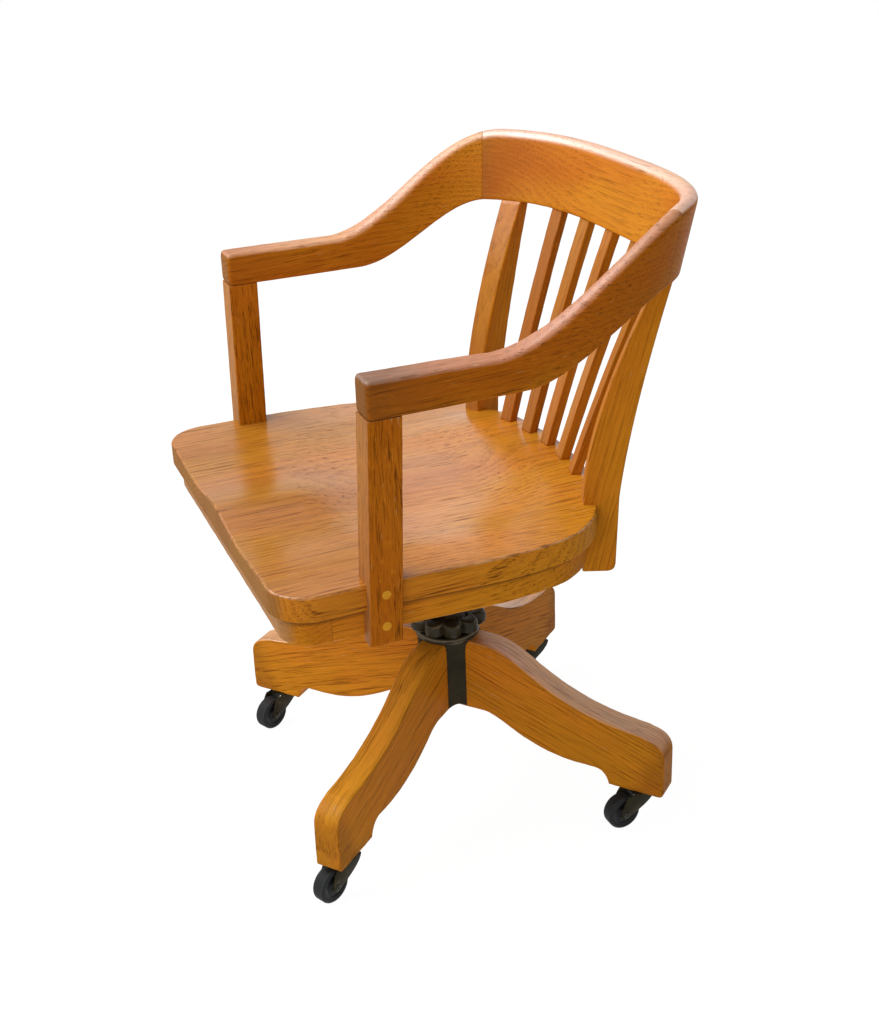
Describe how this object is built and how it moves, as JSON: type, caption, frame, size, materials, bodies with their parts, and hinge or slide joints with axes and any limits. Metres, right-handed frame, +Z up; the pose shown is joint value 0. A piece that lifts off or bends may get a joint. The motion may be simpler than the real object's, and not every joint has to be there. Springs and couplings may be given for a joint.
{
  "type": "swivel desk chair",
  "caption": "Oak swivel and tilt desk chair with a saddled seat, a bent arm and crest bow on slats and stiles, and a splayed wooden base on casters.",
  "frame": {"origin": "on the swivel axis, at the floor that the casters stand on", "axes": "+Z up, the sitter faces -Y, and +X is the sitter's left"},
  "size_m": [0.5932, 0.5952, 0.863],
  "materials": {
    "oak": "old satin varnish over honey oak, open pores and worn dark arrises",
    "oak_plug": "satin varnish over face-grain oak plugs",
    "iron": "old black japanned casting with worn edges",
    "steel": "dark oiled steel",
    "caster_steel": "worn dark pressed steel",
    "tread": "hard black wheel with a scuffed grey tread"
  },
  "bodies": {
    "base": {"hub_casting": "iron", "leg_front_left": "oak", "leg_front_right": "oak", "leg_rear_left": "oak", "leg_rear_right": "oak", "leg_screws": "steel", "caster_sockets": "caster_steel"},
    "collar": {"thrust_washer": "steel"},
    "column": {"spindle": "steel", "tilt_yoke": "iron"},
    "seat": {"tilt_pin": "steel", "seat_iron": "iron", "seat_iron_screws": "steel", "tension_bolt": "steel", "tension_nut": "steel", "tilt_spring": "steel", "seat_board": "oak", "front_rail": "oak", "side_rail_left": "oak", "side_rail_right": "oak", "back_rail": "oak", "front_post_left": "oak", "front_post_right": "oak", "post_plugs": "oak_plug", "arm_left": "oak", "arm_right": "oak", "crest_rail": "oak", "back_stile_left": "oak", "back_stile_right": "oak", "slat_1": "oak", "slat_2": "oak", "slat_3": "oak", "slat_4": "oak", "slat_5": "oak"},
    "handwheel": {"hand_wheel": "iron"},
    "caster_front_left": {"caster_fork_front_left": "caster_steel", "caster_axle_front_left": "caster_steel"},
    "wheel_front_left": {"caster_wheel_front_left": "tread"},
    "caster_front_right": {"caster_fork_front_right": "caster_steel", "caster_axle_front_right": "caster_steel"},
    "wheel_front_right": {"caster_wheel_front_right": "tread"},
    "caster_rear_left": {"caster_fork_rear_left": "caster_steel", "caster_axle_rear_left": "caster_steel"},
    "wheel_rear_left": {"caster_wheel_rear_left": "tread"},
    "caster_rear_right": {"caster_fork_rear_right": "caster_steel", "caster_axle_rear_right": "caster_steel"},
    "wheel_rear_right": {"caster_wheel_rear_right": "tread"}
  },
  "joints": [
    {"name": "seat_swivel", "type": "hinge", "parent": "base", "child": "collar", "pos_m": [0, 0, 0.237], "axis": [0, 0, 1], "continuous": true},
    {"name": "seat_height", "type": "slide", "parent": "collar", "child": "column", "axis": [0, 0, 1], "range_m": [0, 0.08]},
    {"name": "seat_tilt", "type": "hinge", "parent": "column", "child": "seat", "pos_m": [0, 0, 0.404], "axis": [-1, 0, 0], "range_deg": [0, 12], "stiffness_Nm_per_rad": 45, "springref_deg": -20.05, "deforming": ["tilt_spring"]},
    {"name": "handwheel_turn", "type": "hinge", "parent": "collar", "child": "handwheel", "pos_m": [0, 0, 0.25], "axis": [0, 0, -1], "range_deg": [0, 3601]},
    {"name": "caster_swivel_front_left", "type": "hinge", "parent": "base", "child": "caster_front_left", "pos_m": [0.18313, -0.22615, 0.056], "axis": [0, 0, 1], "continuous": true},
    {"name": "wheel_spin_front_left", "type": "hinge", "parent": "caster_front_left", "child": "wheel_front_left", "pos_m": [0.19584, -0.25222, 0.024], "axis": [0.8988, 0.4384, 0], "continuous": true},
    {"name": "caster_swivel_front_right", "type": "hinge", "parent": "base", "child": "caster_front_right", "pos_m": [-0.22615, -0.18313, 0.056], "axis": [0, 0, 1], "continuous": true},
    {"name": "wheel_spin_front_right", "type": "hinge", "parent": "caster_front_right", "child": "wheel_front_right", "pos_m": [-0.21344, -0.2092, 0.024], "axis": [0.8988, 0.4384, 0], "continuous": true},
    {"name": "caster_swivel_rear_left", "type": "hinge", "parent": "base", "child": "caster_rear_left", "pos_m": [0.22615, 0.18313, 0.056], "axis": [0, 0, 1], "continuous": true},
    {"name": "wheel_spin_rear_left", "type": "hinge", "parent": "caster_rear_left", "child": "wheel_rear_left", "pos_m": [0.22716, 0.15415, 0.024], "axis": [0.9994, 0.0349, 0], "continuous": true},
    {"name": "caster_swivel_rear_right", "type": "hinge", "parent": "base", "child": "caster_rear_right", "pos_m": [-0.18313, 0.22615, 0.056], "axis": [0, 0, 1], "continuous": true},
    {"name": "wheel_spin_rear_right", "type": "hinge", "parent": "caster_rear_right", "child": "wheel_rear_right", "pos_m": [-0.1771, 0.19778, 0.024], "axis": [0.9781, 0.2079, 0], "continuous": true}
  ],
  "couplings": [
    {"joint": "handwheel_turn", "follows": "seat_height", "rad_per_m": 785.4}
  ]
}
